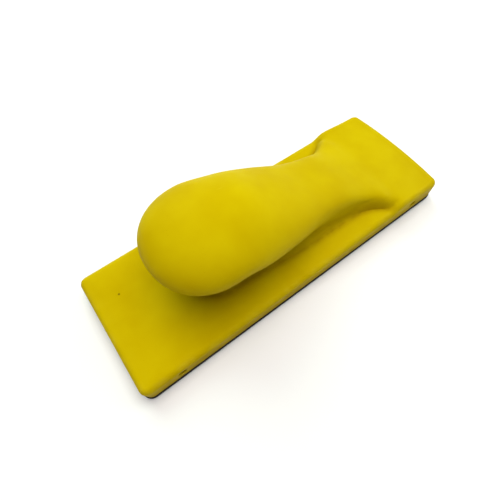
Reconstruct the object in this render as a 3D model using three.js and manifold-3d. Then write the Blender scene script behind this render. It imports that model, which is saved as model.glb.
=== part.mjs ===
// Hand sanding block: a knob-gripped foam moulding on a hook-and-loop face.
//
// Units are millimetres. +X runs along the block from the knob's end to the tail's end, +Y across it
// and +Z up. The origin is the middle of the underside, on the surface that the block rests on.

import * as THREE from 'three';
import { ParametricGeometry } from 'three/addons/geometries/ParametricGeometry.js';
import { mergeVertices } from 'three/addons/utils/BufferGeometryUtils.js';
import Module from 'manifold-3d';

const { clamp, lerp, smoothstep } = THREE.MathUtils;

const wasm = await Module();
wasm.setup();

// ---- Driving dimensions ------------------------------------------------------------------------

const LENGTH = 198; // the moulding is the size of a standard 70 x 198 mm abrasive strip
const WIDTH = 70;
const CORNER_RADIUS = 4;

const HOOK_TAPE_TOP = 1.6; // layers of the black face, each measured from the underside
const CUSHION_TOP = 2.8;
const FACE_TOP = 3; // underside of the moulding
const FACE_LIP = 0.5; // how far the black face stands out all round the moulding

const DECK = 14; // top of the base slab
const EDGE_RADIUS = 3; // rounding of the base slab's top edge

const KNOB_X = -38; // middle of the knob, where the grip is highest
const TAIL_X = 69; // where the tail has spread to the full width
const SPREAD_START_X = 60; // where the side edge starts to rise to the tail
const DRAPE_START_X = 38; // the flank softens into a slope from here
const DRAPE_END_X = 56; // to here
const ARCH_POWER = 3.5; // how flat the ramp is across, before its sides drop away

const NOSE_REACH = 28.6; // knob's middle to its foremost point
const NOSE_POWER = 2.16; // roundness of the nose seen from above
const WAIST_NOSE_REACH = 12; // the same for the waist under the knob
const FILLET_WIDTH = 3.4; // concave fillet between waist and deck at the nose

const PLATE_LENGTH = 180;
const PLATE_WIDTH = 50;
const PLATE_BOTTOM = 7.7;
const PLATE_THICKNESS = 2;
const PLATE_CORNER = 6;

const SPACER_X = 79; // spacers sit this far from the middle, near each end
const SPACER_DIAMETER = 4;
const SPACER_RECESS = 0.8; // how far a spacer's end lies inside the wall
const SPACER_GRIP = 3; // length of the slot that holds the plate's edge

const GAP = 0.3; // clearance between neighbouring solids

// ---- Shape of the grip along its length --------------------------------------------------------
// Each list gives [x, value] and is joined by a smooth curve.

const CROWN_HEIGHT = smoothThrough([
  [-60, 62], [KNOB_X, 62], [-20, 59.4], [0, 50], [20, 39.2], [40, 31.4], [55, 24.8],
  [TAIL_X, 20.2], [82, 18.2], [99, 16.3],
]);
const BELLY_HALF_WIDTH = smoothThrough([
  [-60, 27.4], [KNOB_X, 27.4], [-28, 27.3], [-18, 26.6], [-8, 25.4], [2, 23.8], [12, 21.5],
  [22, 19.9], [34, 19.6], [45, 20.4], [54, 22.6], [59, 25.2], [64.5, 28.8], [TAIL_X, 30.4],
]);
const BELLY_HEIGHT = smoothThrough([
  [-60, 48.3], [KNOB_X, 48.3], [-20, 42], [0, 36.6], [20, 28.5], [32, 23], [45, 19.6],
  [TAIL_X, 18],
]);
const WAIST_HALF_WIDTH = smoothThrough([
  [-60, 13.5], [KNOB_X, 13.5], [-20, 14.3], [0, 17], [20, 19], [34, 19.9], [45, 20.7], [54, 22.8],
  [59, 25.5], [64.5, 29], [TAIL_X, 30.5],
]);
const WAIST_HEIGHT = smoothThrough([[-60, 20], [KNOB_X, 20], [20, 18.4], [45, 17.4], [TAIL_X, 17]]);
const FOOT_HALF_WIDTH = smoothThrough([
  [-60, 17.5], [KNOB_X, 17.5], [-20, 18.7], [0, 20.9], [20, 21.8], [40, 22.3], [47, 23.1],
  [52, 24.8], [56, 27], [59, 29.2], [62, 31], [TAIL_X, 31.2],
]);
const CROWN_POWER = smoothThrough([
  [-60, 2], [KNOB_X, 2], [0, 2.1], [20, 2.7], [40, 3.3], [TAIL_X, 3.4],
]);
const DRAPE_POWER = smoothThrough([[38, 30], [50, 26], [58, 20], [TAIL_X, 12]]);
const TAIL_EDGE_HEIGHT = smoothThrough([[50, 17.6], [72, 17.1], [86, 15.5], [99, 14.6]]);

// ---- Mesh resolution ---------------------------------------------------------------------------

const STATION_STEP = 6; // distance between stations along the block's outline
const CORNER_STEPS = 4;
const CROWN_STEPS = 9;
const FLANK_STEPS = 6;
const FILLET_STEPS = 4;
const DECK_STEPS = 2;
const EDGE_STEPS = 4;
const ROUND_SIDES = 24;

// ---- Materials ---------------------------------------------------------------------------------

const yellowFoam = new THREE.MeshStandardMaterial({ color: 0xe0c800, roughness: 0.55, metalness: 0 });
const darkPlastic = new THREE.MeshStandardMaterial({ color: 0x1b1916, roughness: 0.6, metalness: 0 });
const hardBoard = new THREE.MeshStandardMaterial({ color: 0x3a2c20, roughness: 0.7, metalness: 0 });
const adhesive = new THREE.MeshStandardMaterial({ color: 0xd8d2b8, roughness: 0.4, metalness: 0 });
const blackFoam = new THREE.MeshStandardMaterial({ color: 0x17140f, roughness: 0.9, metalness: 0 });
const blackNylon = new THREE.MeshStandardMaterial({ color: 0x0f0e0d, roughness: 0.65, metalness: 0 });

// ---- Helpers -----------------------------------------------------------------------------------

// A smooth curve through [x, value] points that doesn't overshoot between them.
function smoothThrough(points) {
  const last = points.length - 1;
  const rise = points.slice(1).map((p, i) => (p[1] - points[i][1]) / (p[0] - points[i][0]));
  const slope = points.map((p, i) => {
    if (i === 0) return rise[0];
    if (i === last) return rise[last - 1];
    const product = rise[i - 1] * rise[i];
    return product > 0 ? (2 * product) / (rise[i - 1] + rise[i]) : 0;
  });
  return (x) => {
    const at = clamp(x, points[0][0], points[last][0]);
    const i = Math.min(points.findLastIndex((p) => p[0] <= at), last - 1);
    const span = points[i + 1][0] - points[i][0];
    const t = (at - points[i][0]) / span;
    const ease = t * t * (3 - 2 * t);
    const leave = t * (1 - t) * (1 - t) * span * slope[i];
    const arrive = t * t * (t - 1) * span * slope[i + 1];
    return points[i][1] * (1 - ease) + points[i + 1][1] * ease + leave + arrive;
  };
}

// Turns a three.js geometry into a closed solid, ready to be cut.
function solidOf(geometry) {
  const bare = geometry.clone();
  bare.deleteAttribute('normal');
  bare.deleteAttribute('uv');
  const merged = mergeVertices(bare);
  const corners = merged.index.array;
  const triangles = [];
  for (let i = 0; i < corners.length; i += 3) {
    const [a, b, c] = corners.slice(i, i + 3);
    if (a !== b && b !== c && c !== a) triangles.push(a, b, c);
  }
  return new wasm.Manifold(new wasm.Mesh({
    numProp: 3,
    vertProperties: new Float32Array(merged.attributes.position.array),
    triVerts: new Uint32Array(triangles),
  }));
}

function geometryOf(solid) {
  const mesh = solid.getMesh();
  const geometry = new THREE.BufferGeometry();
  geometry.setAttribute('position', new THREE.BufferAttribute(mesh.vertProperties, 3));
  geometry.setIndex(new THREE.BufferAttribute(mesh.triVerts, 1));
  geometry.computeVertexNormals();
  return geometry;
}

function roundedRectangle(length, width, radius) {
  const x = length / 2 - radius;
  const y = width / 2 - radius;
  const shape = new THREE.Shape();
  shape.absarc(x, y, radius, 0, Math.PI / 2);
  shape.absarc(-x, y, radius, Math.PI / 2, Math.PI);
  shape.absarc(-x, -y, radius, Math.PI, 1.5 * Math.PI);
  shape.absarc(x, -y, radius, 1.5 * Math.PI, 2 * Math.PI);
  return shape;
}

function sheet(length, width, radius, bottom, top) {
  const options = { depth: top - bottom, bevelEnabled: false, curveSegments: CORNER_STEPS };
  const geometry = new THREE.ExtrudeGeometry(roundedRectangle(length, width, radius), options);
  return geometry.translate(0, 0, bottom);
}

function named(name, geometry, material) {
  const mesh = new THREE.Mesh(geometry, material);
  mesh.name = name;
  return mesh;
}

// ---- The moulding's surface --------------------------------------------------------------------

// Stations round the moulding's outline, from the middle of the tail's end to the middle of the
// knob's end. Each has its outline point and the direction that faces out of the block there.
function halfOutline() {
  const cornerX = LENGTH / 2 - CORNER_RADIUS;
  const cornerY = WIDTH / 2 - CORNER_RADIUS;
  const endSteps = Math.round(cornerY / STATION_STEP);
  const sideSteps = Math.round((2 * cornerX) / STATION_STEP);
  const stations = [];
  const add = (x, y, angle) => {
    const facing = new THREE.Vector2(Math.cos(angle), Math.sin(angle));
    stations.push({ outline: new THREE.Vector2(x, y), facing });
  };
  const addCorner = (x, y, startAngle) => {
    for (let i = 0; i <= CORNER_STEPS; i += 1) {
      const angle = startAngle + ((Math.PI / 2) * i) / CORNER_STEPS;
      add(x + CORNER_RADIUS * Math.cos(angle), y + CORNER_RADIUS * Math.sin(angle), angle);
    }
  };
  for (let i = 0; i < endSteps; i += 1) add(LENGTH / 2, (cornerY * i) / endSteps, 0);
  addCorner(cornerX, cornerY, 0);
  for (let i = 1; i < sideSteps; i += 1) {
    add(cornerX - (2 * cornerX * i) / sideSteps, WIDTH / 2, Math.PI / 2);
  }
  addCorner(-cornerX, cornerY, Math.PI / 2);
  for (let i = endSteps - 1; i >= 0; i -= 1) add(-LENGTH / 2, (cornerY * i) / endSteps, Math.PI);
  return stations;
}

function mirrored(station) {
  const flip = (v) => new THREE.Vector2(v.x, -v.y);
  return { outline: flip(station.outline), facing: flip(station.facing) };
}

function wholeOutline() {
  const half = halfOutline();
  const otherHalf = half.slice(1, -1).reverse().map(mirrored);
  return [...half, ...otherHalf, half[0]];
}

// Height of the tail's broad top, crowned across its width.
function tailHeight(x, y) {
  const crown = CROWN_HEIGHT(x);
  const across = y / (WIDTH / 2 - EDGE_RADIUS);
  return crown - (crown - TAIL_EDGE_HEIGHT(x)) * across * across;
}

// Distance from the knob's middle to an oval with the given reach forwards and sideways.
function ovalReach(direction, forwards, sideways) {
  if (direction.x >= 0) return sideways;
  const x = Math.abs(direction.x) / forwards;
  const y = Math.abs(direction.y) / sideways;
  return (x ** NOSE_POWER + y ** NOSE_POWER) ** (-1 / NOSE_POWER);
}

// The moulding's profile at one station: points from the crown, over the knob, in under it to the
// waist, out along the deck, round the edge and down to the middle of the underside.
function profileAt(station) {
  const spine = new THREE.Vector2(clamp(station.outline.x, KNOB_X, TAIL_X), 0);
  const inner = station.outline.clone().addScaledVector(station.facing, -EDGE_RADIUS);
  const direction = inner.clone().sub(spine);
  const deckReach = direction.length();
  direction.normalize();

  const tailScale = spine.x === TAIL_X ? deckReach / (WIDTH / 2 - EDGE_RADIUS) : 1;
  const belly = tailScale * ovalReach(direction, NOSE_REACH, BELLY_HALF_WIDTH(spine.x));
  const waist = tailScale * ovalReach(direction, WAIST_NOSE_REACH, WAIST_HALF_WIDTH(spine.x));
  const footNose = WAIST_NOSE_REACH + FILLET_WIDTH;
  const foot = tailScale * ovalReach(direction, footNose, FOOT_HALF_WIDTH(spine.x));
  const crownHeight = CROWN_HEIGHT(spine.x);
  const bellyHeight = BELLY_HEIGHT(spine.x);
  const waistHeight = WAIST_HEIGHT(spine.x);
  const crownShape = 2 / CROWN_POWER(spine.x);
  const drape = smoothstep(spine.x, DRAPE_START_X, DRAPE_END_X);
  const drapePower = DRAPE_POWER(spine.x);

  const points = [];
  const add = (reach, height) => {
    const share = Math.min(reach / foot, 1);
    const arched = crownHeight - (crownHeight - bellyHeight) * share ** ARCH_POWER;
    const draped = DECK + (arched - DECK) * (1 - share ** drapePower) ** 2;
    const plan = spine.clone().addScaledVector(direction, reach);
    const spread = smoothstep(plan.x, SPREAD_START_X, TAIL_X);
    const z = lerp(lerp(height, draped, drape), tailHeight(plan.x, plan.y), spread);
    points.push(new THREE.Vector3(plan.x, plan.y, z));
  };
  for (let i = 0; i < CROWN_STEPS; i += 1) {
    const angle = ((Math.PI / 2) * i) / CROWN_STEPS;
    const rise = (crownHeight - bellyHeight) * Math.cos(angle) ** crownShape;
    add(belly * Math.sin(angle) ** crownShape, bellyHeight + rise);
  }
  for (let i = 0; i < FLANK_STEPS; i += 1) {
    const down = i / FLANK_STEPS;
    const inward = Math.sin((Math.PI / 2) * down) ** 2;
    add(lerp(belly, waist, inward), lerp(bellyHeight, waistHeight, down));
  }
  for (let i = 0; i < FILLET_STEPS; i += 1) {
    const angle = ((Math.PI / 2) * i) / FILLET_STEPS;
    add(foot - (foot - waist) * Math.cos(angle), waistHeight - (waistHeight - DECK) * Math.sin(angle));
  }
  for (let i = 0; i < DECK_STEPS; i += 1) add(lerp(foot, deckReach, i / DECK_STEPS), DECK);

  add(deckReach, DECK);
  const edgeHeight = points.at(-1).z;
  for (let i = 1; i <= EDGE_STEPS; i += 1) {
    const angle = ((Math.PI / 2) * i) / EDGE_STEPS;
    const plan = inner.clone().addScaledVector(station.facing, EDGE_RADIUS * Math.sin(angle));
    points.push(new THREE.Vector3(plan.x, plan.y, edgeHeight - EDGE_RADIUS * (1 - Math.cos(angle))));
  }
  points.push(new THREE.Vector3(station.outline.x, station.outline.y, FACE_TOP));
  points.push(new THREE.Vector3(spine.x, 0, FACE_TOP));
  return points;
}

function mouldingSolid() {
  const profiles = wholeOutline().map(profileAt);
  const around = profiles.length - 1;
  const down = profiles[0].length - 1;
  // v runs from the underside up to the crown, so that the faces point outwards.
  const surface = (u, v, target) => {
    target.copy(profiles[Math.round(u * around)][Math.round((1 - v) * down)]);
  };
  return solidOf(new ParametricGeometry(surface, around, down));
}

// ---- Spacers and plate -------------------------------------------------------------------------

function spacerPlaces() {
  const places = [];
  for (const [end, x] of [['front', -SPACER_X], ['rear', SPACER_X]]) {
    for (const [side, sign] of [['left', 1], ['right', -1]]) {
      places.push({ name: `plate_spacer_${end}_${side}`, x, sign });
    }
  }
  return places;
}

// A round bar across the block at plate height, from inside the plate's edge to the outer end.
function crossBar(place, diameter, outerEnd) {
  const innerEnd = PLATE_WIDTH / 2 - SPACER_GRIP;
  const radius = diameter / 2;
  const bar = new THREE.CylinderGeometry(radius, radius, outerEnd - innerEnd, ROUND_SIDES);
  const y = (place.sign * (outerEnd + innerEnd)) / 2;
  return bar.translate(place.x, y, PLATE_BOTTOM + PLATE_THICKNESS / 2);
}

function plateSpace() {
  const grow = 2 * GAP;
  const low = PLATE_BOTTOM - GAP;
  const high = PLATE_BOTTOM + PLATE_THICKNESS + GAP;
  return solidOf(sheet(PLATE_LENGTH + grow, PLATE_WIDTH + grow, PLATE_CORNER + GAP, low, high));
}

function gripBody() {
  let body = mouldingSolid().subtract(plateSpace());
  for (const place of spacerPlaces()) {
    body = body.subtract(solidOf(crossBar(place, SPACER_DIAMETER + 2 * GAP, WIDTH / 2 + 1)));
  }
  return named('grip_body', geometryOf(body), yellowFoam);
}

function stiffenerPlate() {
  const top = PLATE_BOTTOM + PLATE_THICKNESS;
  const geometry = sheet(PLATE_LENGTH, PLATE_WIDTH, PLATE_CORNER, PLATE_BOTTOM, top);
  return named('stiffener_plate', geometry, hardBoard);
}

function plateSpacer(place) {
  const outerEnd = WIDTH / 2 - SPACER_RECESS;
  const spacer = solidOf(crossBar(place, SPACER_DIAMETER, outerEnd)).subtract(plateSpace());
  return named(place.name, geometryOf(spacer), darkPlastic);
}

// ---- Black face --------------------------------------------------------------------------------

// One layer of the face, standing out from the moulding by lip all round.
function faceSheet(name, bottom, top, lip, material) {
  const geometry = sheet(LENGTH + 2 * lip, WIDTH + 2 * lip, CORNER_RADIUS + lip, bottom, top);
  return named(name, geometry, material);
}

// ---- Assembly ----------------------------------------------------------------------------------

const sandingBlock = new THREE.Group();
sandingBlock.add(gripBody());
sandingBlock.add(stiffenerPlate());
for (const place of spacerPlaces()) sandingBlock.add(plateSpacer(place));
sandingBlock.add(faceSheet('bonding_film', CUSHION_TOP, FACE_TOP, -FACE_LIP, adhesive));
sandingBlock.add(faceSheet('cushion_sheet', HOOK_TAPE_TOP, CUSHION_TOP, FACE_LIP, blackFoam));
sandingBlock.add(faceSheet('hook_tape', 0, HOOK_TAPE_TOP, FACE_LIP, blackNylon));

export default sandingBlock;
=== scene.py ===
"""Looks of a hand sanding block: a yellow foam moulding with a knob grip, on a black hook face."""

import math
import random

import bmesh
import bpy
import numpy as np
from mathutils import Matrix, Vector


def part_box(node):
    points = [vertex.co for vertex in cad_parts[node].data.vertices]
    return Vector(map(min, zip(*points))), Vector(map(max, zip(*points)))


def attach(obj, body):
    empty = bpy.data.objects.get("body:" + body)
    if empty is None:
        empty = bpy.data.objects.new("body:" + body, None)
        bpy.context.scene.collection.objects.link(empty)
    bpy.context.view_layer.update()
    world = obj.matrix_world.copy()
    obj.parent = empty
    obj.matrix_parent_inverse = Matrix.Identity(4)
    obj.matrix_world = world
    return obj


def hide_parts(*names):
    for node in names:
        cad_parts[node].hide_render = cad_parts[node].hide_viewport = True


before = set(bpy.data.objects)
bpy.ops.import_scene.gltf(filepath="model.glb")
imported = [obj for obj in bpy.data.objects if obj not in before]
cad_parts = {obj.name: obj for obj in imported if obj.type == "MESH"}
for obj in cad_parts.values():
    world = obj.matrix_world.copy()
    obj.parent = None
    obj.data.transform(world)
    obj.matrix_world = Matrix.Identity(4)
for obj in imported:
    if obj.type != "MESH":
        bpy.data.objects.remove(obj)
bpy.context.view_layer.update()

MM = 0.001

# ---- Driving dimensions, in millimetres ---------------------------------------------------------

BODY_LOW, BODY_HIGH = (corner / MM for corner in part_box("grip_body"))
TAPE_LOW, TAPE_HIGH = (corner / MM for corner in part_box("hook_tape"))
CUSHION_LOW, CUSHION_HIGH = (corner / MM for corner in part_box("cushion_sheet"))
PLATE_LOW, PLATE_HIGH = (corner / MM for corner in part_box("stiffener_plate"))
SPACER_LOW, SPACER_HIGH = (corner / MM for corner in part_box("plate_spacer_rear_left"))

HALF_LENGTH = BODY_HIGH.x
HALF_WIDTH = BODY_HIGH.y
FACE_TOP = BODY_LOW.z  # underside of the moulding
KNOB_TOP = BODY_HIGH.z
FACE_LIP = TAPE_HIGH.x - BODY_HIGH.x  # how far the black face stands out all round

CORNER_RADIUS = 4.0
EDGE_RADIUS = 3.0
DECK = 14.0  # top of the base slab
GAP = 0.3  # clearance round the plate and the spacers
PLATE_CORNER = 6.3  # corner radius of the plate's slot

PIT_PLACE = Vector((-84.8, 15.0, DECK))  # a small moulding pit on the deck

KNOB_X = -38.0  # middle of the knob, where the grip is highest
TAIL_X = 69.0  # where the tail has spread to the full width
SPREAD_START_X = 60.0  # where the side edge starts to rise to the tail
DRAPE_START_X = 38.0  # the flank softens into a slope from here
DRAPE_END_X = 56.0  # to here
ARCH_POWER = 3.5  # how flat the ramp is across, before its sides drop away

NOSE_REACH = 28.6  # knob's middle to its foremost point
NOSE_POWER = 2.16  # roundness of the nose seen from above
WAIST_NOSE_REACH = 12.0  # knob's middle to the foremost point of the waist under it
FILLET_WIDTH = 3.4  # how far the foot stands out past the waist at the nose

# Profiles along the block: (x, value) pairs joined by a smooth curve.
CROWN_HEIGHT = [
    (-60, KNOB_TOP), (KNOB_X, KNOB_TOP), (-20, 59.4), (0, 50), (20, 39.2), (40, 31.4), (55, 24.8),
    (TAIL_X, 20.2), (82, 18.2), (99, 16.3),
]
BELLY_HALF_WIDTH = [
    (-60, 27.4), (KNOB_X, 27.4), (-28, 27.3), (-18, 26.6), (-8, 25.4), (2, 23.8), (12, 21.5),
    (22, 19.9), (34, 19.6), (45, 20.4), (54, 22.6), (59, 25.2), (64.5, 28.8), (TAIL_X, 30.4),
]
BELLY_HEIGHT = [
    (-60, 48.3), (KNOB_X, 48.3), (-20, 42), (0, 36.6), (20, 28.5), (32, 23), (45, 19.6), (TAIL_X, 18),
]
WAIST_HALF_WIDTH = [
    (-60, 13.5), (KNOB_X, 13.5), (-20, 14.3), (0, 17), (20, 19), (34, 19.9), (45, 20.7), (54, 22.8),
    (59, 25.5), (64.5, 29), (TAIL_X, 30.5),
]
WAIST_HEIGHT = [(-60, 20), (KNOB_X, 20), (20, 18.4), (45, 17.4), (TAIL_X, 17)]
FOOT_HALF_WIDTH = [
    (-60, 17.5), (KNOB_X, 17.5), (-20, 18.7), (0, 20.9), (20, 21.8), (40, 22.3), (47, 23.1),
    (52, 24.8), (56, 27), (59, 29.2), (62, 31), (TAIL_X, 31.2),
]
CROWN_POWER = [(-60, 2), (KNOB_X, 2), (0, 2.1), (20, 2.7), (40, 3.3), (TAIL_X, 3.4)]
DRAPE_POWER = [(38, 30), (50, 26), (58, 20), (TAIL_X, 12)]
TAIL_EDGE_HEIGHT = [(50, 17.6), (72, 17.1), (86, 15.5), (99, 14.6)]

# ---- Camera -------------------------------------------------------------------------------------

CAMERA_TARGET = Vector((-13.14, 1.384, 0.0)) * MM
CAMERA_AZIMUTH = math.radians(-35.436)
CAMERA_ELEVATION = math.radians(62.866)
CAMERA_ROLL = math.radians(-1.281)
CAMERA_DISTANCE = 198.892 * MM
CAMERA_LENS = 24.741


def make_camera():
    back = Vector((
        math.sin(CAMERA_AZIMUTH) * math.cos(CAMERA_ELEVATION),
        -math.cos(CAMERA_AZIMUTH) * math.cos(CAMERA_ELEVATION),
        math.sin(CAMERA_ELEVATION),
    ))
    rotation = back.to_track_quat("Z", "Y").to_matrix().to_4x4()
    roll = Matrix.Rotation(CAMERA_ROLL, 4, "Z")
    data = bpy.data.cameras.new("camera")
    data.lens = CAMERA_LENS
    data.clip_start = 0.005
    camera = bpy.data.objects.new("camera", data)
    camera.matrix_world = Matrix.Translation(CAMERA_TARGET + back * CAMERA_DISTANCE) @ rotation @ roll
    bpy.context.scene.collection.objects.link(camera)
    bpy.context.scene.camera = camera


# ---- Mesh helpers -------------------------------------------------------------------------------

WELD_DISTANCE = 0.002  # points closer than this are joined
BAR_SIDES = 32
FLAT_RINGS = 6  # rings across the flat faces of a sheet


def new_piece(name, mesh, material, slot, *replaced):
    """Adds a piece that rides on the block and stands in for the CAD nodes it replaces."""
    piece = bpy.data.objects.new(name, mesh)
    bpy.context.scene.collection.objects.link(piece)
    mesh.materials.append(material)
    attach(piece, "root")
    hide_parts(*replaced)
    return piece


def apply_modifiers(piece):
    """Writes the piece's modifiers into its mesh."""
    depsgraph = bpy.context.evaluated_depsgraph_get()
    finished = bpy.data.meshes.new_from_object(piece.evaluated_get(depsgraph))
    piece.modifiers.clear()
    piece.data = finished


def smooth_shade(mesh, sharp_angle):
    mesh.polygons.foreach_set("use_smooth", [True] * len(mesh.polygons))
    mesh.set_sharp_from_angle(angle=sharp_angle)


def smooth_through(points):
    """A smooth curve through (x, value) points that doesn't overshoot between them."""
    x = np.array([p[0] for p in points], float)
    value = np.array([p[1] for p in points], float)
    rise = np.diff(value) / np.diff(x)
    slope = np.concatenate([rise[:1], np.zeros(len(x) - 2), rise[-1:]])
    for i in range(1, len(x) - 1):
        product = rise[i - 1] * rise[i]
        if product > 0:
            slope[i] = 2 * product / (rise[i - 1] + rise[i])

    def curve(at):
        at = np.clip(at, x[0], x[-1])
        i = np.clip(np.searchsorted(x, at, side="right") - 1, 0, len(x) - 2)
        span = x[i + 1] - x[i]
        t = (at - x[i]) / span
        ease = t * t * (3 - 2 * t)
        leave = t * (1 - t) ** 2 * span * slope[i]
        arrive = t * t * (t - 1) * span * slope[i + 1]
        return value[i] * (1 - ease) + value[i + 1] * ease + leave + arrive

    return curve


def smooth_step(value, low, high):
    """Rises smoothly from 0 at low to 1 at high."""
    t = np.clip((value - low) / (high - low), 0, 1)
    return t * t * (3 - 2 * t)


# ---- The moulding -------------------------------------------------------------------------------

STATION_STEP = 1.5  # distance between stations round the outline
CORNER_STEPS = 6
CROWN_STEPS = 24
FLANK_STEPS = 16
FILLET_STEPS = 8
DECK_STEPS = 8
EDGE_STEPS = 6
WALL_STEPS = 5
PLATE_CORNER_STEPS = 8

# Wear and painted shade on the skin, in millimetres unless noted.
RIM_WIDTH = 3.5  # how far in from the edges the skin is rubbed
RIM_LOW = 11.0  # rubbing starts at this height
RIM_RISE = 2.0  # and is full this much higher
HOLLOW_WIDTH = 3.0  # width of the painted shade in the crease where the grip meets the deck
HOLLOW_TOP = 22.0  # painted shade in the crease ends at this height
HOLLOW_FADE = 8.0
HOLLOW_LOW = 12.0  # no painted shade in the crease below this height
HOLLOW_END_X = TAIL_X - 4
OVERHANG_STRENGTH = 1.5  # painted shade on faces that look down, per unit of slope
WALL_TOP = 12.0  # painted shade on the side walls ends at this height
WALL_FADE = 4.0
WALL_SHADE = 0.6  # how dark the painted shade on the side walls is, against that in the crease


def half_outline():
    """Points round half of the outline, from tail to knob, and the outward direction at each."""
    corner_x = HALF_LENGTH - CORNER_RADIUS
    corner_y = HALF_WIDTH - CORNER_RADIUS
    end_steps = round(corner_y / STATION_STEP)
    side_steps = round(2 * corner_x / STATION_STEP)
    points = []
    angles = []
    for i in range(end_steps):
        points.append((HALF_LENGTH, corner_y * i / end_steps))
        angles.append(0)
    for centre_x, start in ((corner_x, 0), (-corner_x, math.pi / 2)):
        for i in range(CORNER_STEPS + 1):
            angle = start + math.pi / 2 * i / CORNER_STEPS
            points.append((
                centre_x + CORNER_RADIUS * math.cos(angle),
                corner_y + CORNER_RADIUS * math.sin(angle),
            ))
            angles.append(angle)
        if start == 0:
            for i in range(1, side_steps):
                points.append((corner_x - 2 * corner_x * i / side_steps, HALF_WIDTH))
                angles.append(math.pi / 2)
    for i in reversed(range(end_steps)):
        points.append((-HALF_LENGTH, corner_y * i / end_steps))
        angles.append(math.pi)
    angles = np.array(angles)
    return np.array(points), np.stack([np.cos(angles), np.sin(angles)], 1)


def moulding_profiles():
    """Rings of points, from the crown down to the underside, each with one point for every station."""
    outline, facing = half_outline()
    crown = smooth_through(CROWN_HEIGHT)
    tail_edge = smooth_through(TAIL_EDGE_HEIGHT)
    inner_half_width = HALF_WIDTH - EDGE_RADIUS

    spine = np.stack([np.clip(outline[:, 0], KNOB_X, TAIL_X), np.zeros(len(outline))], 1)
    inner = outline - facing * EDGE_RADIUS
    direction = inner - spine
    deck_reach = np.linalg.norm(direction, axis=1)
    direction /= deck_reach[:, None]
    along = spine[:, 0]
    tail_scale = np.where(along >= TAIL_X, deck_reach / inner_half_width, 1.0)

    def tail_height(x, y):
        across = y / inner_half_width
        return crown(x) - (crown(x) - tail_edge(x)) * across * across

    def reach(forwards, sideways):
        x = np.abs(np.minimum(direction[:, 0], 0)) / forwards
        y = np.abs(direction[:, 1]) / sideways
        oval = np.maximum(x ** NOSE_POWER + y ** NOSE_POWER, 1e-9) ** (-1 / NOSE_POWER)
        return tail_scale * np.where(direction[:, 0] < 0, oval, sideways)

    belly = reach(NOSE_REACH, smooth_through(BELLY_HALF_WIDTH)(along))
    waist = reach(WAIST_NOSE_REACH, smooth_through(WAIST_HALF_WIDTH)(along))
    foot = reach(WAIST_NOSE_REACH + FILLET_WIDTH, smooth_through(FOOT_HALF_WIDTH)(along))
    crown_height = crown(along)
    belly_height = smooth_through(BELLY_HEIGHT)(along)
    waist_height = smooth_through(WAIST_HEIGHT)(along)
    crown_shape = 2 / smooth_through(CROWN_POWER)(along)

    drape = smooth_step(along, DRAPE_START_X, DRAPE_END_X)
    drape_power = smooth_through(DRAPE_POWER)(along)
    rings = []

    def add(distance, height):
        share = np.minimum(distance / foot, 1)
        arched = crown_height - (crown_height - belly_height) * share ** ARCH_POWER
        draped = DECK + (arched - DECK) * (1 - share ** drape_power) ** 2
        height = height + (draped - height) * drape
        plan = spine + direction * distance[:, None]
        spread = smooth_step(plan[:, 0], SPREAD_START_X, TAIL_X)
        height = height + (tail_height(plan[:, 0], plan[:, 1]) - height) * spread
        rings.append(np.column_stack([plan, height]))

    for i in range(CROWN_STEPS):
        angle = math.pi / 2 * i / CROWN_STEPS
        add(
            belly * math.sin(angle) ** crown_shape,
            belly_height + (crown_height - belly_height) * math.cos(angle) ** crown_shape,
        )
    for i in range(FLANK_STEPS):
        down = i / FLANK_STEPS
        inward = math.sin(math.pi / 2 * down) ** 2
        add(belly + (waist - belly) * inward, belly_height + (waist_height - belly_height) * down)
    for i in range(FILLET_STEPS):
        angle = math.pi / 2 * i / FILLET_STEPS
        add(
            foot - (foot - waist) * math.cos(angle),
            waist_height - (waist_height - DECK) * math.sin(angle),
        )
    deck = np.full(len(outline), DECK)
    for i in range(DECK_STEPS + 1):
        add(foot + (deck_reach - foot) * i / DECK_STEPS, deck)

    edge_height = rings[-1][:, 2]
    for i in range(1, EDGE_STEPS + 1):
        angle = math.pi / 2 * i / EDGE_STEPS
        plan = inner + facing * EDGE_RADIUS * math.sin(angle)
        rings.append(np.column_stack([plan, edge_height - EDGE_RADIUS * (1 - math.cos(angle))]))
    wall_top = rings[-1][:, 2]
    for i in range(1, WALL_STEPS + 1):
        rings.append(np.column_stack([outline, wall_top + (FACE_TOP - wall_top) * i / WALL_STEPS]))
    rings.append(np.column_stack([spine, np.full(len(outline), FACE_TOP)]))
    return np.array(rings)


def closed_rings(half):
    """Joins rings over half of the block to their mirror image, ready to be skinned."""
    other = half[:, -2:0:-1] * [1, -1, 1]
    return np.concatenate([half, other], axis=1)


def skin(name, rings):
    """A closed mesh over a stack of rings whose first and last rings close it."""
    ring_count, around = rings.shape[:2]
    faces = []
    for ring in range(ring_count - 1):
        for i in range(around):
            j = (i + 1) % around
            faces.append((
                ring * around + i, (ring + 1) * around + i, (ring + 1) * around + j, ring * around + j,
            ))
    mesh = bpy.data.meshes.new(name)
    mesh.from_pydata((rings.reshape(-1, 3) * MM).tolist(), [], faces)
    shape = bmesh.new()
    shape.from_mesh(mesh)
    bmesh.ops.remove_doubles(shape, verts=shape.verts, dist=WELD_DISTANCE * MM)
    bmesh.ops.recalc_face_normals(shape, faces=shape.faces)
    shape.to_mesh(mesh)
    shape.free()
    return mesh


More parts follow.
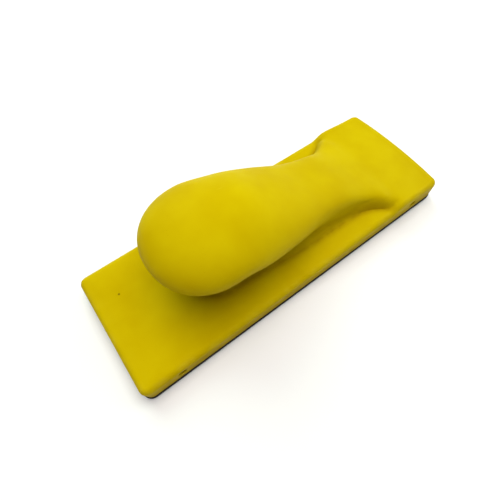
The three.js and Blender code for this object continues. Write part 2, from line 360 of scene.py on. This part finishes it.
def sheet_rings(low, high, grow, edge):
    """Rings round a flat sheet. edge lists (share of the height, how far the edge is drawn in)."""
    outline, facing = half_outline()
    outline = outline + facing * grow
    rings = []
    for share, drawn_in in edge:
        height = np.full(len(outline), low + (high - low) * share)
        rings.append(np.column_stack([outline - facing * drawn_in, height]))
    shrinks = [[1 - i / FLAT_RINGS, 1 - i / FLAT_RINGS, 1] for i in range(1, FLAT_RINGS + 1)]
    bottom = [rings[0] * shrink for shrink in reversed(shrinks)]
    top = [rings[-1] * shrink for shrink in shrinks]
    return closed_rings(np.array(bottom + rings + top))


def round_bar(name, x, y_from, y_to, z, radius):
    """A round bar across the block, used to cut a bore."""
    rings = []
    for y, reach in ((y_from, 0), (y_from, radius), (y_to, radius), (y_to, 0)):
        ring = []
        for i in range(BAR_SIDES):
            angle = 2 * math.pi * i / BAR_SIDES
            ring.append((x + reach * math.cos(angle), y, z + reach * math.sin(angle)))
        rings.append(ring)
    return skin(name, np.array(rings))


def plate_space():
    """The slot in the moulding that holds the stiffener plate."""
    half_length = PLATE_HIGH.x + GAP
    half_width = PLATE_HIGH.y + GAP
    low = PLATE_LOW.z - GAP
    high = PLATE_HIGH.z + GAP
    corners = []
    for sx, sy, start in ((1, 1, 0), (-1, 1, 90), (-1, -1, 180), (1, -1, 270)):
        for step in range(PLATE_CORNER_STEPS + 1):
            angle = math.radians(start + 90 * step / PLATE_CORNER_STEPS)
            corners.append((
                sx * (half_length - PLATE_CORNER) + PLATE_CORNER * math.cos(angle),
                sy * (half_width - PLATE_CORNER) + PLATE_CORNER * math.sin(angle),
            ))
    outline = np.array(corners)
    middle = outline * 0
    rings = [
        np.column_stack([plan, np.full(len(plan), height)])
        for plan, height in ((middle, low), (outline, low), (outline, high), (middle, high))
    ]
    return skin("plate_space", np.array(rings))


def cut(piece, cutter_mesh):
    """Takes the cutter's shape out of a piece."""
    cutter = bpy.data.objects.new("cutter", cutter_mesh)
    bpy.context.scene.collection.objects.link(cutter)
    boolean = piece.modifiers.new("cut", "BOOLEAN")
    boolean.operation = "DIFFERENCE"
    boolean.solver = "EXACT"
    boolean.object = cutter
    apply_modifiers(piece)
    bpy.data.objects.remove(cutter)


def paint_wear_and_shade(mesh):
    """Stores how rubbed ("rim") the skin is at each point, and how much shade is painted on it
    ("hollow"): in the crease at the grip's foot, on faces that look down and low on the side walls.
    """
    points = np.empty(len(mesh.vertices) * 3)
    mesh.vertices.foreach_get("co", points)
    x, y, z = points.reshape(-1, 3).T / MM
    side = np.minimum(HALF_WIDTH - np.abs(y), HALF_LENGTH - np.abs(x))
    rim = np.clip(1 - side / RIM_WIDTH, 0, 1) * np.clip((z - RIM_LOW) / RIM_RISE, 0, 1)
    # Painted shade: darker in the crease where the grip meets the deck.
    foot = smooth_through(FOOT_HALF_WIDTH)(x)
    from_foot = np.abs(np.hypot(np.maximum(KNOB_X - x, 0), y) - foot)
    painted_shade = np.clip(1 - from_foot / HOLLOW_WIDTH, 0, 1) * np.clip((HOLLOW_TOP - z) / HOLLOW_FADE, 0, 1)
    painted_shade *= (x < HOLLOW_END_X) & (z > HOLLOW_LOW)
    facing = np.empty(len(mesh.vertices) * 3)
    mesh.vertex_normals.foreach_get("vector", facing)
    # Painted shade on faces that look down.
    overhang = np.clip(-facing[2::3] * OVERHANG_STRENGTH, 0, 1) * (z > DECK + 1)
    # Painted shade low on the side walls, darker towards the bottom.
    wall = np.clip((WALL_TOP - z) / WALL_FADE, 0, 1) * (side < EDGE_RADIUS) * WALL_SHADE
    painted_shade = np.maximum.reduce([painted_shade, overhang, wall])
    for name, values in (("rim", rim), ("painted_shade", painted_shade)):
        mesh.attributes.new(name, "FLOAT", "POINT").data.foreach_set("value", values)


def make_grip_body(material):
    moulding = skin("moulding", closed_rings(moulding_profiles()))
    body = new_piece("grip_body_moulding", moulding, material, "yellow_foam", "grip_body")
    cut(body, plate_space())
    middle = (SPACER_LOW + SPACER_HIGH) / 2
    radius = (SPACER_HIGH.z - SPACER_LOW.z) / 2 + GAP
    for end in (-1, 1):
        for side in (-1, 1):
            inside, outside = side * SPACER_LOW.y, side * (HALF_WIDTH + 1)
            cut(body, round_bar("bore", end * middle.x, inside, outside, middle.z, radius))
    paint_wear_and_shade(body.data)
    smooth_shade(body.data, math.radians(40))


# ---- The black face -----------------------------------------------------------------------------

HOOK_HEIGHT = 0.9
HOOK_PITCH = 2.0
HOOK_WIRE = 0.15  # radius of the moulded wire
HOOK_CROOK = 0.26  # radius of the bend at a hook's end
HOOK_BEND = math.pi * 0.85  # how far round the end is bent
HOOK_BEND_STEPS = 5
HOOK_SIDES = 5
HOOK_ROOT = 0.05  # how deep a hook's root lies in the backing
HOOK_JITTER = 0.16  # how far a hook may stand from its place in the grid, each way
HOOK_TURN = 0.35  # how far a hook may be turned out of line, in radians
HOOK_MARGIN = 1.2  # from the tape's edge to the outermost hooks
HOOK_CORNER_MARGIN = 0.7


def make_cushion_sheet(material):
    """The thin foam sheet, a little drawn in between its skins."""
    edge = [(0, 0.12), (0.12, 0.02), (0.3, 0.06), (0.5, 0.14), (0.7, 0.06), (0.88, 0.02), (1, 0.12)]
    cushion = skin("cushion", sheet_rings(CUSHION_LOW.z, CUSHION_HIGH.z, FACE_LIP, edge))
    sheet = new_piece("cushion_sheet_foam", cushion, material, "black_foam", "cushion_sheet")
    smooth_shade(sheet.data, math.radians(60))


def hook_template():
    """One hook standing on the origin and pointing down, bent towards +X at its end."""
    stem_end = HOOK_HEIGHT - HOOK_CROOK - HOOK_WIRE
    path = [(0.0, HOOK_ROOT), (0.0, -stem_end * 0.5), (0.0, -stem_end)]
    for step in range(1, HOOK_BEND_STEPS + 1):
        angle = HOOK_BEND * step / HOOK_BEND_STEPS
        path.append((HOOK_CROOK * (1 - math.cos(angle)), -stem_end - HOOK_CROOK * math.sin(angle)))
    points = []
    for i, (x, z) in enumerate(path):
        before, after = path[max(i - 1, 0)], path[min(i + 1, len(path) - 1)]
        along = Vector((after[0] - before[0], 0, after[1] - before[1])).normalized()
        across = Vector((-along.z, 0, along.x))
        wire = HOOK_WIRE * (1.35 if i == 0 else 1 - 0.08 * max(i - 3, 0))
        for k in range(HOOK_SIDES):
            angle = 2 * math.pi * k / HOOK_SIDES
            spoke = across * math.cos(angle) + Vector((0, math.sin(angle), 0))
            points.append(Vector((x, 0, z)) + wire * spoke)
    faces = []
    for i in range(len(path) - 1):
        near, far = i * HOOK_SIDES, (i + 1) * HOOK_SIDES
        for k in range(HOOK_SIDES):
            m = (k + 1) % HOOK_SIDES
            faces.append((near + k, near + m, far + m, far + k))
    faces.append(tuple(reversed(range(HOOK_SIDES))))
    last = (len(path) - 1) * HOOK_SIDES
    faces.append(tuple(range(last, last + HOOK_SIDES)))
    return np.array(points), faces


def hook_places():
    """Where each hook stands, and which way it is bent: rows alternate, with a little disorder."""
    places = []
    reach_x = TAPE_HIGH.x - HOOK_MARGIN
    reach_y = TAPE_HIGH.y - HOOK_MARGIN
    columns = int(2 * reach_x / HOOK_PITCH)
    rows = int(2 * reach_y / HOOK_PITCH)
    for row in range(rows + 1):
        for column in range(columns + 1):
            x = reach_x * (2 * column / columns - 1) + random.uniform(-HOOK_JITTER, HOOK_JITTER)
            y = reach_y * (2 * row / rows - 1) + random.uniform(-HOOK_JITTER, HOOK_JITTER)
            turn = math.pi * (row % 2) + random.uniform(-HOOK_TURN, HOOK_TURN)
            over_x = abs(x) - (TAPE_HIGH.x - CORNER_RADIUS - FACE_LIP)
            over_y = abs(y) - (TAPE_HIGH.y - CORNER_RADIUS - FACE_LIP)
            in_corner = over_x > 0 and over_y > 0
            if not in_corner or math.hypot(over_x, over_y) < CORNER_RADIUS - HOOK_CORNER_MARGIN:
                places.append((x, y, turn))
    return places


def make_hook_tape(material):
    """The tape's woven backing with its field of hooks."""
    random.seed(4)
    backing_low = TAPE_LOW.z + HOOK_HEIGHT
    edge = [(0, 0.1), (0.2, 0.0), (0.8, 0.0), (1, 0.1)]
    backing = skin("backing", sheet_rings(backing_low, TAPE_HIGH.z, FACE_LIP, edge))
    hook, hook_faces = hook_template()
    points = []
    faces = []
    for x, y, turn in hook_places():
        start = len(points) * len(hook)
        c, s = math.cos(turn), math.sin(turn)
        turned = hook @ np.array([[c, s, 0], [-s, c, 0], [0, 0, 1]])
        points.append(turned + [x, y, backing_low])
        faces.extend(tuple(start + corner for corner in face) for face in hook_faces)
    hooks = bpy.data.meshes.new("hooks")
    hooks.from_pydata((np.concatenate(points) * MM).tolist(), [], faces)
    shape = bmesh.new()
    shape.from_mesh(backing)
    shape.from_mesh(hooks)
    bmesh.ops.recalc_face_normals(shape, faces=shape.faces)
    shape.to_mesh(backing)
    shape.free()
    tape = new_piece("hook_tape_hooks", backing, material, "black_nylon", "hook_tape")
    smooth_shade(tape.data, math.radians(50))


# ---- Materials ----------------------------------------------------------------------------------


class Shader:
    """A material's node tree, with short calls for the nodes used here."""

    def __init__(self, name, colour, roughness, **values):
        self.material = bpy.data.materials.new(name)
        self.material.use_nodes = True
        self.tree = self.material.node_tree
        self.surface = self.tree.nodes["Principled BSDF"]
        self.surface.inputs["Base Color"].default_value = (*colour, 1)
        self.surface.inputs["Roughness"].default_value = roughness
        for key, value in values.items():
            self.surface.inputs[key.replace("_", " ")].default_value = value
        self.place = self.node("ShaderNodeTexCoord").outputs["Object"]
        self.normal = None

    def node(self, kind, **settings):
        node = self.tree.nodes.new(kind)
        for key, value in settings.items():
            setattr(node, key, value)
        return node

    def feed(self, target, value):
        """Sets an input to a plain value, or links it to another node's output."""
        if isinstance(value, bpy.types.NodeSocket):
            self.tree.links.new(value, target)
        elif isinstance(value, tuple) and len(value) == 3 and target.type == "RGBA":
            target.default_value = (*value, 1)
        else:
            target.default_value = value

    def stretched(self, stretch):
        mapping = self.node("ShaderNodeMapping")
        self.feed(mapping.inputs["Vector"], self.place)
        mapping.inputs["Scale"].default_value = stretch
        return mapping.outputs["Vector"]

    def noise(self, size, detail=2.0, stretch=(1, 1, 1), roughness=0.5):
        """Noise whose features are about size millimetres across."""
        noise = self.node("ShaderNodeTexNoise")
        self.feed(noise.inputs["Vector"], self.stretched(stretch))
        noise.inputs["Scale"].default_value = 1 / (size * MM)
        noise.inputs["Detail"].default_value = detail
        noise.inputs["Roughness"].default_value = roughness
        return noise.outputs["Fac"]

    def cells(self, size, stretch=(1, 1, 1)):
        """Distance from the middle of round cells about size millimetres apart."""
        cells = self.node("ShaderNodeTexVoronoi")
        self.feed(cells.inputs["Vector"], self.stretched(stretch))
        cells.inputs["Scale"].default_value = 1 / (size * MM)
        return cells.outputs["Distance"]

    def painted(self, name):
        return self.node("ShaderNodeAttribute", attribute_name=name).outputs["Fac"]

    def span(self, value, low, high, start=0.0, end=1.0):
        """Maps low..high to start..end, held beyond both ends."""
        span = self.node("ShaderNodeMapRange", clamp=True)
        self.feed(span.inputs["Value"], value)
        span.inputs["From Min"].default_value = low
        span.inputs["From Max"].default_value = high
        span.inputs["To Min"].default_value = start
        span.inputs["To Max"].default_value = end
        return span.outputs["Result"]

    def maths(self, operation, a, b):
        maths = self.node("ShaderNodeMath", operation=operation)
        self.feed(maths.inputs[0], a)
        self.feed(maths.inputs[1], b)
        return maths.outputs["Value"]

    def mix(self, amount, first, second):
        mix = self.node("ShaderNodeMix", data_type="RGBA")
        self.feed(mix.inputs[0], amount)
        self.feed(mix.inputs[6], first)
        self.feed(mix.inputs[7], second)
        return mix.outputs[2]

    def distance_from(self, place):
        """Distance in metres from a place on the object."""
        away = self.node("ShaderNodeVectorMath", operation="DISTANCE")
        self.feed(away.inputs[0], self.place)
        away.inputs[1].default_value = place
        return away.outputs["Value"]

    def colour(self, value):
        self.feed(self.surface.inputs["Base Color"], value)

    def roughness(self, value):
        self.feed(self.surface.inputs["Roughness"], value)

    def bump(self, height, depth):
        """Adds relief that is depth millimetres deep."""
        bump = self.node("ShaderNodeBump")
        bump.inputs["Distance"].default_value = depth * MM
        self.feed(bump.inputs["Height"], height)
        if self.normal:
            self.feed(bump.inputs["Normal"], self.normal)
        self.normal = bump.outputs["Normal"]
        self.feed(self.surface.inputs["Normal"], self.normal)


YELLOW = (0.50, 0.368, 0.0)
YELLOW_LIGHT = (0.52, 0.388, 0.001)
YELLOW_DEEP = (0.47, 0.335, 0.0)
# darkest yellow: painted shade in the crease, under overhangs and low on the side walls, and also the
# colour of the pores
YELLOW_SHADE_AND_PORES = (0.25, 0.14, 0.002)
YELLOW_RUBBED = (0.57, 0.45, 0.03)
PIT_COLOUR = (0.10, 0.06, 0.003)


def foam_skin():
    """Semi-matt moulded skin: faint clouds, fine grain, painted shade in the creases, under overhangs
    and low on the side walls, and rubbed rims.
    """
    shader = Shader("yellow_foam", YELLOW, 0.55, Specular_IOR_Level=0.02)
    shader.surface.inputs["Specular Tint"].default_value = (1.0, 0.8, 0.02, 1)
    clouds = shader.noise(26, 3)
    grain = shader.noise(0.55, 3)
    patches = shader.noise(7, 4, roughness=0.65)
    scuffs = shader.noise(2.2, 3, stretch=(0.16, 1, 1))
    pores = shader.cells(2.6)

    colour = shader.mix(shader.span(clouds, 0.35, 0.65), YELLOW_DEEP, YELLOW_LIGHT)
    colour = shader.mix(shader.span(grain, 0.3, 0.75, 0.0, 0.10), colour, YELLOW_DEEP)
    # painted shade from the stored mask, broken into patches
    shade_amount = shader.maths("MULTIPLY", shader.painted("painted_shade"), shader.span(patches, 0.35, 0.7, 0.3, 0.7))
    colour = shader.mix(shade_amount, colour, YELLOW_SHADE_AND_PORES)
    rubbed = shader.maths("MULTIPLY", shader.painted("rim"), shader.span(patches, 0.45, 0.7, 0.0, 0.5))
    colour = shader.mix(rubbed, colour, YELLOW_RUBBED)
    scratched = shader.span(scuffs, 0.70, 0.78, 0.0, 0.18)
    colour = shader.mix(scratched, colour, YELLOW_RUBBED)
    pored = shader.span(pores, 0.03, 0.075, 0.35, 0.0)
    colour = shader.mix(pored, colour, YELLOW_SHADE_AND_PORES)
    pit = shader.span(shader.distance_from(PIT_PLACE * MM), 0.3 * MM, 0.75 * MM, 0.85, 0.0)
    shader.colour(shader.mix(pit, colour, PIT_COLOUR))

    shader.roughness(shader.span(patches, 0.3, 0.7, 0.42, 0.58))
    shader.bump(shader.noise(11, 2), 0.12)
    shader.bump(grain, 0.02)
    shader.bump(shader.span(pores, 0.02, 0.08), 0.03)
    shader.bump(scratched, -0.03)
    return shader.material


def black_foam():
    """Matt rubber foam with fine cells and a little dust."""
    shader = Shader("black_foam", (0.010, 0.009, 0.008), 0.9)
    cells = shader.cells(0.35)
    dust = shader.noise(3, 4)
    dusty = shader.span(dust, 0.55, 0.8, 0.0, 0.35)
    shader.colour(shader.mix(dusty, (0.008, 0.007, 0.006), (0.05, 0.04, 0.02)))
    shader.roughness(shader.span(dust, 0.3, 0.7, 0.8, 0.95))
    shader.bump(cells, 0.08)
    return shader.material


def black_nylon():
    """Woven tape and moulded hooks, with a little sanding dust caught in them."""
    shader = Shader("black_nylon", (0.010, 0.010, 0.010), 0.5)
    weave = shader.noise(0.45, 2, stretch=(0.5, 1, 1))
    dust = shader.noise(6, 4, roughness=0.65)
    dusty = shader.span(dust, 0.55, 0.8, 0.0, 0.3)
    shader.colour(shader.mix(dusty, (0.009, 0.009, 0.009), (0.07, 0.06, 0.045)))
    shader.roughness(shader.span(weave, 0.3, 0.7, 0.42, 0.62))
    shader.bump(weave, 0.06)
    return shader.material


def hard_board():
    """Pressed fibre board."""
    shader = Shader("hard_board", (0.09, 0.05, 0.025), 0.8)
    fibres = shader.noise(0.8, 5, stretch=(0.2, 1, 1), roughness=0.7)
    shader.colour(shader.mix(shader.span(fibres, 0.3, 0.7), (0.06, 0.032, 0.016), (0.13, 0.075, 0.04)))
    shader.roughness(shader.span(fibres, 0.3, 0.7, 0.7, 0.88))
    shader.bump(fibres, 0.04)
    return shader.material


def adhesive():
    """Dried contact adhesive with small bubbles."""
    shader = Shader("adhesive", (0.62, 0.56, 0.38), 0.35)
    bubbles = shader.cells(1.1)
    shader.colour(shader.mix(shader.span(bubbles, 0.1, 0.5), (0.70, 0.64, 0.45), (0.55, 0.48, 0.30)))
    shader.roughness(shader.span(bubbles, 0.1, 0.6, 0.25, 0.45))
    shader.bump(bubbles, 0.03)
    return shader.material


def dark_plastic():
    """Moulded plastic with a spark-eroded grain."""
    shader = Shader("dark_plastic", (0.014, 0.012, 0.009), 0.6)
    grain = shader.noise(0.25, 3)
    tone = shader.span(grain, 0.3, 0.7)
    shader.colour(shader.mix(tone, (0.010, 0.009, 0.007), (0.022, 0.018, 0.013)))
    shader.roughness(shader.span(grain, 0.3, 0.7, 0.5, 0.7))
    shader.bump(grain, 0.02)
    return shader.material


def finish_node(name, material):
    """Gives a CAD node that is kept its material."""
    node = bpy.data.objects[name]
    for slot in node.material_slots:
        slot.material = material


# ---- Lights and floor ---------------------------------------------------------------------------

FLOOR_REACH = 3.0  # metres
FLOOR_COLOUR = (0.86, 0.86, 0.86)
HORIZON_LIGHT = 0.4  # brightness of the surroundings at the height of the floor
HORIZON_FADE = 0.5  # they are dark from this slope upwards, as the sine of the angle


def make_floor():
    mesh = bpy.data.meshes.new("floor")
    corners = [(x * FLOOR_REACH, y * FLOOR_REACH, 0) for x, y in ((-1, -1), (1, -1), (1, 1), (-1, 1))]
    mesh.from_pydata(corners, [], [(0, 1, 2, 3)])
    shader = Shader("floor", FLOOR_COLOUR, 0.8)
    shader.bump(shader.noise(2, 2), 0.02)
    mesh.materials.append(shader.material)
    floor = bpy.data.objects.new("floor", mesh)
    bpy.context.scene.collection.objects.link(floor)


def area_light(name, place, size, power, colour):
    data = bpy.data.lights.new(name, "AREA")
    data.shape = "DISK"
    data.size = size
    data.energy = power
    data.color = colour
    light = bpy.data.objects.new(name, data)
    light.location = place
    light.rotation_euler = (-Vector(place)).to_track_quat("-Z", "Y").to_euler()
    bpy.context.scene.collection.objects.link(light)


def make_lights():
    """A broad, slightly warm softbox overhead, and two slightly green ones behind and past the tail."""
    area_light("overhead", (0.1, 0.0, 1.2), 1.2, 15.5, (1.0, 0.93, 0.92))
    area_light("behind", (0.1, 0.9, 0.8), 1.0, 10.0, (0.82, 1.0, 0.88))
    area_light("tail_side", (1.0, -0.1, 0.6), 1.0, 5.5, (0.82, 1.0, 0.88))


def make_surroundings():
    """Pale surroundings at the height of the floor, fading to dark above."""
    world = bpy.data.worlds.new("studio")
    world.use_nodes = True
    nodes = world.node_tree.nodes
    links = world.node_tree.links
    height = nodes.new("ShaderNodeSeparateXYZ")
    links.new(nodes.new("ShaderNodeTexCoord").outputs["Generated"], height.inputs[0])
    fade = nodes.new("ShaderNodeMapRange")
    links.new(height.outputs["Z"], fade.inputs["Value"])
    fade.inputs["From Max"].default_value = HORIZON_FADE
    fade.inputs["To Min"].default_value = HORIZON_LIGHT
    fade.inputs["To Max"].default_value = 0.0
    links.new(fade.outputs["Result"], nodes["Background"].inputs["Strength"])
    nodes["Background"].inputs["Color"].default_value = (1, 1, 1, 1)
    bpy.context.scene.world = world


# ---- Scene --------------------------------------------------------------------------------------

make_camera()
make_grip_body(foam_skin())
make_cushion_sheet(black_foam())
make_hook_tape(black_nylon())
finish_node("stiffener_plate", hard_board())
finish_node("bonding_film", adhesive())
spacer_plastic = dark_plastic()
for end in ("front", "rear"):
    for side in ("left", "right"):
        finish_node(f"plate_spacer_{end}_{side}", spacer_plastic)
make_floor()
make_lights()
make_surroundings()
bpy.context.scene.view_settings.view_transform = "Standard"
